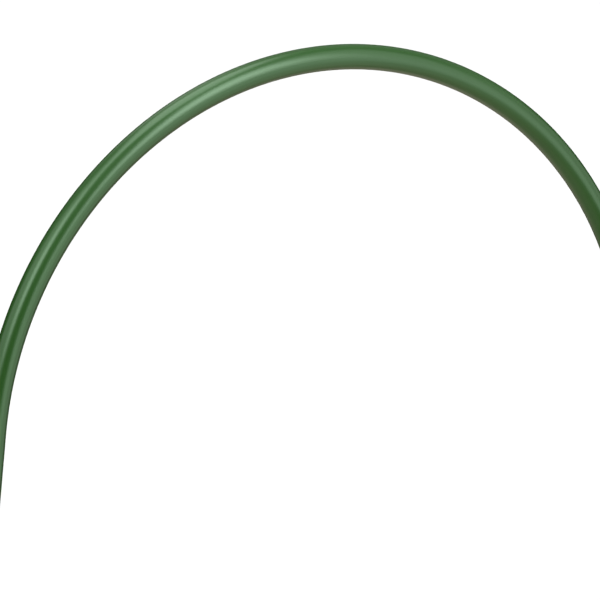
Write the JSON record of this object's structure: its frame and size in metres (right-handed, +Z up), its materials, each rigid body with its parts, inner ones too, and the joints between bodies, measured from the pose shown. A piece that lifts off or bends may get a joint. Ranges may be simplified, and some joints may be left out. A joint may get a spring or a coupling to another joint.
{
  "type": "metal trellis arch",
  "caption": "Round-topped garden trellis arch of green plastic-coated steel tube, with clip-on rungs between two legs and stakes that hold it in the soil, for climbing plants.",
  "frame": {"origin": "midway between the two legs at the level of the soil, where the foot flanges rest", "axes": "+Z up along the legs, X across the arch from leg to leg, Y through it"},
  "size_m": [0.502, 0.028, 1.701],
  "materials": {
    "green_coating": "satin polyethylene coating",
    "green_moulding": "moulded, fine texture",
    "steel_tube": "plain drawn steel",
    "zinc_steel": "zinc plated"
  },
  "bodies": {
    "lower_frame": {"lower_leg_core_left": "steel_tube", "lower_leg_core_right": "steel_tube", "lower_leg_coating_left": "green_coating", "lower_leg_coating_right": "green_coating", "foot_bush_left": "green_moulding", "foot_bush_right": "green_moulding", "ground_stake_left": "zinc_steel", "ground_stake_right": "zinc_steel"},
    "upper_frame": {"upper_leg_core_left": "steel_tube", "upper_leg_core_right": "steel_tube", "upper_leg_coating_left": "green_coating", "upper_leg_coating_right": "green_coating", "leg_connector_left": "green_moulding", "leg_connector_right": "green_moulding"},
    "bow": {"bow_core": "steel_tube", "bow_coating": "green_coating", "bow_connector_left": "green_moulding", "bow_connector_right": "green_moulding"},
    "rung_1": {"rung_core_1": "steel_tube", "rung_coating_1": "green_coating", "rung_clip_left_1": "green_moulding", "rung_clip_right_1": "green_moulding"},
    "rung_2": {"rung_core_2": "steel_tube", "rung_coating_2": "green_coating", "rung_clip_left_2": "green_moulding", "rung_clip_right_2": "green_moulding"},
    "rung_3": {"rung_core_3": "steel_tube", "rung_coating_3": "green_coating", "rung_clip_left_3": "green_moulding", "rung_clip_right_3": "green_moulding"},
    "rung_4": {"rung_core_4": "steel_tube", "rung_coating_4": "green_coating", "rung_clip_left_4": "green_moulding", "rung_clip_right_4": "green_moulding"},
    "rung_5": {"rung_core_5": "steel_tube", "rung_coating_5": "green_coating", "rung_clip_left_5": "green_moulding", "rung_clip_right_5": "green_moulding"},
    "rung_6": {"rung_core_6": "steel_tube", "rung_coating_6": "green_coating", "rung_clip_left_6": "green_moulding", "rung_clip_right_6": "green_moulding"}
  },
  "joints": [
    {"name": "upper_frame_lift", "type": "slide", "parent": "lower_frame", "child": "upper_frame", "axis": [0, 0, 1], "range_m": [0, 0.06]},
    {"name": "bow_lift", "type": "slide", "parent": "upper_frame", "child": "bow", "axis": [0, 0, 1], "range_m": [0, 0.06]},
    {"name": "rung_1_slide", "type": "slide", "parent": "lower_frame", "child": "rung_1", "axis": [0, 0, 1], "range_m": [-0.07, 0.07]},
    {"name": "rung_2_slide", "type": "slide", "parent": "lower_frame", "child": "rung_2", "axis": [0, 0, 1], "range_m": [-0.07, 0.07]},
    {"name": "rung_3_slide", "type": "slide", "parent": "lower_frame", "child": "rung_3", "axis": [0, 0, 1], "range_m": [-0.07, 0.07]},
    {"name": "rung_4_slide", "type": "slide", "parent": "upper_frame", "child": "rung_4", "axis": [0, 0, 1], "range_m": [-0.07, 0.07]},
    {"name": "rung_5_slide", "type": "slide", "parent": "upper_frame", "child": "rung_5", "axis": [0, 0, 1], "range_m": [-0.07, 0.07]},
    {"name": "rung_6_slide", "type": "slide", "parent": "upper_frame", "child": "rung_6", "axis": [0, 0, 1], "range_m": [-0.07, 0.07]}
  ]
}
